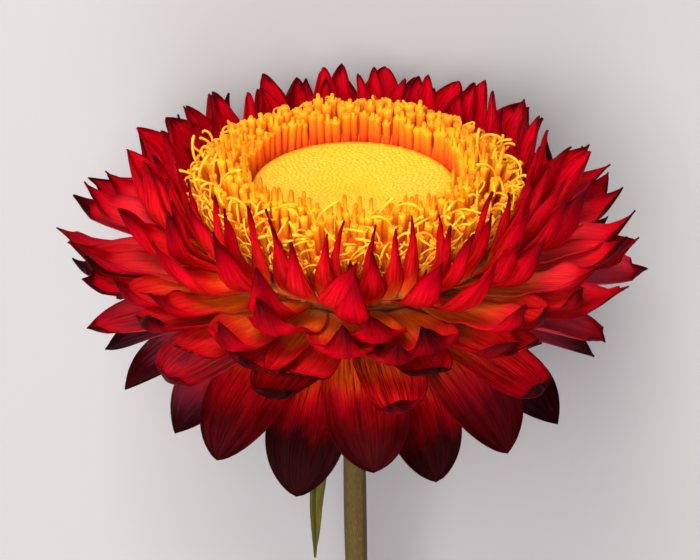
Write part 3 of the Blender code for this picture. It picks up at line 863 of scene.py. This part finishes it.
def floret_material():
    """Orange tubes, red at the foot and yellow at the mouth, with golden styles and brown-tipped anthers."""
    finish = Finish("open_floret")
    part = finish.attribute("part")
    tone = finish.calc("SUBTRACT", finish.attribute("tone"), 0.5)
    place = finish.line(tone, 0.22, finish.attribute("along"))
    tube_stops = [
        (0.0, (0.50, 0.02, 0.004)), (0.30, (0.72, 0.09, 0.006)), (0.66, (0.90, 0.20, 0.006)),
        (1.0, (0.96, 0.40, 0.010)),
    ]
    style_stops = [(0.0, (0.96, 0.26, 0.008)), (1.0, (0.99, 0.50, 0.022))]
    bristle_stops = [(0.0, (0.56, 0.05, 0.006)), (1.0, (0.88, 0.17, 0.012))]
    anther_stops = [
        (0.0, (0.96, 0.46, 0.012)), (0.55, (0.90, 0.34, 0.008)), (0.80, (0.82, 0.24, 0.005)),
        (1.0, (0.60, 0.15, 0.004)),
    ]
    colour = finish.ramp(place, tube_stops)
    for number, stops in ((STYLE, style_stops), (BRISTLE, bristle_stops), (ANTHER, anther_stops)):
        colour = finish.mix(finish.calc("COMPARE", part, number, 0.1), colour, finish.ramp(place, stops))
    grain = finish.noise(finish.place(), 1400.0, 3.0)
    colour = finish.tint(finish.line(grain, -0.5, 0.28, clamp=True), colour, (0.75, 0.6, 0.5))
    finish.glow(0.25, (1.0, 0.5, 0.1), 0.0006)
    return finish.dress(colour, 0.6, 0.12)


def floret_part(name, profile, sides, number):
    """A small turned part of unit height, to be stamped many times."""
    bm = spun([(radius * MM, share) for radius, share in profile], sides)
    along_layer, part_layer, _ = add_layers(bm, FLORET_LAYERS)
    for vert in bm.verts:
        vert[along_layer] = vert.co.z
        vert[part_layer] = number
    mesh = bpy.data.meshes.new(name)
    bm.to_mesh(mesh)
    bm.free()
    return mesh


def notched_tube():
    """A floret's tube: every other point of its mouth is drawn in and down, which leaves its lobes."""
    tube = floret_part("corolla", TUBE_PROFILE, TUBE_SIDES, TUBE)
    for vert in tube.vertices:
        ray = round(math.atan2(vert.co.y, vert.co.x) / (2 * math.pi) * TUBE_SIDES)
        if vert.co.z > TUBE_MOUTH and ray % 2:
            vert.co.x *= NOTCH_IN
            vert.co.y *= NOTCH_IN
            vert.co.z -= NOTCH_DOWN
    return tube


def stamp(bm, template, matrix, tone, bend=None):
    """Adds a copy of a small template mesh, placed and, where asked, bent. Gives back its points."""
    before = len(bm.verts)
    bm.from_mesh(template)
    bm.verts.ensure_lookup_table()
    tone_layer = bm.verts.layers.float["tone"]
    added = bm.verts[before:]
    for vert in added:
        vert.co = matrix @ (bend(vert.co) if bend else vert.co)
        vert[tone_layer] = tone
    return added


def arc_thread(reach, curl, heading, wobble, swing):
    """Bends a thread of unit height, which first stands up, over into an arc."""
    turn_out = Matrix.Rotation(heading, 3, "Z")
    bow = reach / curl

    def bend(point):
        share = max(0, point.z)
        turn = curl * share
        out = bow * (1 - math.cos(turn)) + math.cos(turn) * point.x
        up = bow * math.sin(turn) - math.sin(turn) * point.x
        aside = math.sin(share * 3.4) * wobble + swing * share * share
        return turn_out @ Vector((out, point.y + aside, up))

    return bend


def add_bristles(bm, draw):
    """The fine bristles that stand round the outermost florets."""
    bristle = floret_part("bristle", BRISTLE_PROFILE, sides=3, number=BRISTLE)
    for _ in range(BRISTLES):
        azimuth = draw.uniform(0, 2 * math.pi)
        length = draw.uniform(2.6, 4.6) * MM
        place = (
            Matrix.Rotation(azimuth, 4, "Z")
            @ Matrix.Translation((draw.uniform(13.9, 14.7) * MM, 0, draw.uniform(0.4, 2.0) * MM))
            @ Matrix.Rotation(draw.uniform(4, 34) * DEG, 4, "Y")
            @ Matrix.Rotation(draw.uniform(-22, 22) * DEG, 4, "X")
            @ Matrix.Diagonal((1, 1, length, 1))
        )
        stamp(bm, bristle, place, draw.random())
    bpy.data.meshes.remove(bristle)


def add_styles(bm, style, root, count, undermost, draw):
    """The branches of a floret's forked style. Undermost they are shorter and more curled."""
    for _ in range(count):
        bend = arc_thread(
            reach=draw.uniform(1.8, 4.6) * (1 - 0.5 * undermost) * MM,
            curl=(draw.uniform(50, 235) + 60 * undermost) * DEG,
            heading=draw.uniform(-130, 130) * (1 - 0.5 * undermost) * DEG,
            wobble=draw.uniform(-0.7, 0.7) * MM,
            swing=draw.uniform(-1.8, 1.8) * MM,
        )
        stamp(bm, style, root, draw.random(), bend)


def add_floret(bm, parts, row, azimuth, draw):
    """One open floret. Undermost is 0 over the upper half of the ring, and rises to 1 at its lowest."""
    tube, anthers, style = parts
    lean = (row.lean + draw.uniform(-3, 3)) * DEG
    length = (row.top + draw.uniform(-0.5, 0.5) - row.foot) / math.cos(lean) * MM
    radius = row.radius + draw.uniform(-0.12, 0.12)
    place = (
        Matrix.Rotation(azimuth, 4, "Z")
        @ Matrix.Translation((radius * MM, 0, row.foot * MM))
        @ Matrix.Rotation(lean, 4, "Y")
        @ Matrix.Rotation(draw.uniform(-4, 4) * DEG, 4, "X")
    )
    undermost = max(0, math.sin(azimuth)) ** 0.5
    tone = draw.random() - undermost
    swell = draw.uniform(0.85, 1.06) * (1 + 0.28 * undermost)
    stamp(bm, tube, place @ Matrix.Diagonal((swell, swell, length, 1)), tone)
    if draw.random() < row.anthers:
        tall = draw.uniform(0.8, 2.3) * (1 - 0.6 * undermost) * MM
        top = place @ Matrix.Translation((0, 0, length * 0.94)) @ Matrix.Diagonal((1, 1, tall, 1))
        stamp(bm, anthers, top, tone)
    styles = row.styles if row.styles >= 1 else int(draw.random() < row.styles)
    if undermost > 0.7 and draw.random() < 0.6:
        styles = 0
    add_styles(bm, style, place @ Matrix.Translation((0, 0, length * 0.9)), styles, undermost, draw)


def keep_in_cup(bm):
    """Bends what the ring's threads would push through the innermost bracts back into their cup."""
    for vert in bm.verts:
        radius = math.hypot(vert.co.x, vert.co.y) / MM
        limit = CUP_RADIUS + CUP_FLARE * max(0, vert.co.z / MM)
        if radius > limit - 0.5:
            kept = -smooth_max(-radius, -limit, 1.0) / radius
            vert.co.x *= kept
            vert.co.y *= kept


def build_open_florets():
    """The ring of open florets on its core, with the bristles round it."""
    parts = [
        notched_tube(),
        floret_part("anthers", ANTHER_PROFILE, sides=7, number=ANTHER),
        floret_part("style", STYLE_PROFILE, sides=5, number=STYLE),
    ]
    bm = bmesh.new()
    add_layers(bm, FLORET_LAYERS)
    add_turned(bm, RING_CORE, DISC_SIDES, closed=True)
    along_layer = bm.verts.layers.float["along"]
    for vert in bm.verts:
        vert[along_layer] = min(0.45, 0.09 * vert.co.z / MM)
    draw = random.Random(FLORET_SEED)
    for number, row in enumerate(FLORET_ROWS):
        for index in range(row.count):
            place = index + 0.5 * (number % 2) + draw.uniform(-0.16, 0.16)
            add_floret(bm, parts, row, 360 * place / row.count * DEG, draw)
    add_bristles(bm, draw)
    keep_in_cup(bm)
    for part in parts:
        bpy.data.meshes.remove(part)
    finish_piece("disc_ring_florets", bm, [floret_material()], ("open_florets",))


build_open_florets()


# Unopened florets
BUDS = 1400
BUD_SEED = 41
GOLDEN_ANGLE = math.pi * (3 - math.sqrt(5))
CENTRE_RINGS = 24


def centre_material():
    """Golden buds, a little more orange at the disc's middle and rim and in the gaps between them."""
    finish = Finish("closed_floret")
    disc_stops = [
        (0.0, (0.84, 0.40, 0.010)), (0.22, (0.86, 0.45, 0.015)), (0.60, (0.86, 0.45, 0.026)),
        (0.90, (0.85, 0.44, 0.022)), (1.0, (0.86, 0.36, 0.012)),
    ]
    colour = finish.ramp(finish.attribute("spread"), disc_stops)
    gap = finish.line(finish.attribute("along"), -1.4, 1.1, clamp=True)
    colour = finish.mix(finish.times(gap, 0.2), colour, (0.84, 0.36, 0.010))
    colour = finish.mix(finish.times(finish.attribute("tone"), 0.2), colour, (0.90, 0.56, 0.05))
    finish.glow(0.2, (1.0, 0.6, 0.1), 0.0006)
    return finish.dress(colour, 0.65, 0.2)


def centre_level(radius):
    """Height of the unopened florets' tops: a shallow dish with a dimple in the middle."""
    share = radius / CENTRE_RADIUS
    return 4.12 + 0.3 * share * share - 0.28 * math.exp(-((radius / 2.6) ** 2))


def build_centre():
    """The disc of closed buds, laid in a spiral on their common base."""
    bm = bmesh.new()
    add_layers(bm, (*FLORET_LAYERS, "spread"))
    profile = []
    for ring in range(CENTRE_RINGS + 1):
        radius = CENTRE_RADIUS * ring / CENTRE_RINGS
        profile.append((radius, centre_level(radius) - 0.1))
    profile += [(CENTRE_RADIUS, FLORET_BASE), (0, FLORET_BASE)]
    add_turned(bm, profile, DISC_SIDES)
    spread_layer = bm.verts.layers.float["spread"]
    for vert in bm.verts:
        vert[spread_layer] = math.hypot(vert.co.x, vert.co.y) / MM / CENTRE_RADIUS
    bud = floret_part("bud", BUD_PROFILE, sides=6, number=TUBE)
    draw = random.Random(BUD_SEED)
    for index in range(BUDS):
        radius = (CENTRE_RADIUS - 0.3) * math.sqrt((index + 0.5) / BUDS) + draw.uniform(-0.11, 0.11)
        angle = index * GOLDEN_ANGLE + draw.uniform(-0.13, 0.13) / max(radius, 1)
        grown = 0.78 + 0.28 * radius / CENTRE_RADIUS
        place = (
            Matrix.Rotation(angle, 4, "Z")
            @ Matrix.Translation((radius * MM, 0, (centre_level(radius) - 0.2) * MM))
            @ Matrix.Diagonal((grown, grown, (0.17 + 0.07 * draw.random()) * MM, 1))
        )
        for vert in stamp(bm, bud, place, draw.random()):
            vert[spread_layer] = radius / CENTRE_RADIUS
    bpy.data.meshes.remove(bud)
    finish_piece("disc_centre_florets", bm, [centre_material()], ("centre_florets",))


build_centre()


# Table, light and camera
TABLE_SIZE = 1.6
PHOTO_WIDTH = 700  # pixels
SENSOR_WIDTH = 36
FOCAL_PIXELS = 3349.5
CAMERA_RISE = 28 * DEG  # over the plane of the disc
CAMERA_DISTANCE = 330 * MM
AIM_BELOW = 5.3  # how far below the head's centre, in mm, the camera looks
AIM_ASIDE = 0.4  # and how far to its left


def build_table():
    """The plain pale top that the flower lies on."""
    bm = bmesh.new()
    bmesh.ops.create_grid(bm, x_segments=1, y_segments=1, size=TABLE_SIZE)
    mesh = bpy.data.meshes.new("table_top")
    bm.to_mesh(mesh)
    bm.free()
    mesh.materials.append(Finish("pale_table").dress((0.33, 0.318, 0.322), 0.85))
    top = bpy.data.objects.new("table_top", mesh)
    bpy.context.scene.collection.objects.link(top)


def softbox(name, place, size, power, colour):
    """A square soft light that shines on the head."""
    light = bpy.data.lights.new(name, "AREA")
    light.size = size
    light.energy = power
    light.color = colour
    lamp = bpy.data.objects.new(name, light)
    bpy.context.scene.collection.objects.link(lamp)
    lamp.location = place
    lamp.rotation_euler = (Vector(place) - HEAD_CENTRE).to_track_quat("Z", "Y").to_euler()


def build_world():
    """A little even light from all round."""
    world = bpy.data.worlds.new("studio")
    world.use_nodes = True
    world.node_tree.nodes["Background"].inputs["Color"].default_value = (0.80, 0.80, 0.84, 1)
    world.node_tree.nodes["Background"].inputs["Strength"].default_value = 0.20
    bpy.context.scene.world = world
    bpy.context.scene.view_settings.view_transform = "Standard"


def build_camera():
    """Looks down on the lying flower, so that the head is seen as the photograph shows it upright."""
    data = bpy.data.cameras.new("photo_camera")
    camera = bpy.data.objects.new("photo_camera", data)
    bpy.context.scene.collection.objects.link(camera)
    data.sensor_width = SENSOR_WIDTH
    data.lens = FOCAL_PIXELS / PHOTO_WIDTH * SENSOR_WIDTH
    data.clip_start = 0.01
    turn = LAID.to_3x3()
    towards = turn @ Vector((0, -math.cos(CAMERA_RISE), math.sin(CAMERA_RISE)))
    picture_up = turn @ Vector((0, math.sin(CAMERA_RISE), math.cos(CAMERA_RISE)))
    place = HEAD_CENTRE + towards * CAMERA_DISTANCE
    aim = HEAD_CENTRE - picture_up * AIM_BELOW * MM - Vector((AIM_ASIDE * MM, 0, 0))
    back = (place - aim).normalized()
    right = picture_up.cross(back).normalized()
    axes = Matrix((right, back.cross(right), back)).transposed()
    camera.matrix_world = Matrix.Translation(place) @ axes.to_4x4()
    bpy.context.scene.camera = camera


build_table()
softbox("key", (-0.14, 0.58, 0.50), size=0.30, power=5.4, colour=(1.0, 0.97, 0.93))
softbox("over", (-0.14, 0.12, 0.68), size=0.40, power=6.0, colour=(1.0, 0.98, 0.96))
softbox("fill", (-0.12, -0.38, 0.62), size=0.50, power=3.3, colour=(0.97, 0.97, 1.0))
build_world()
build_camera()
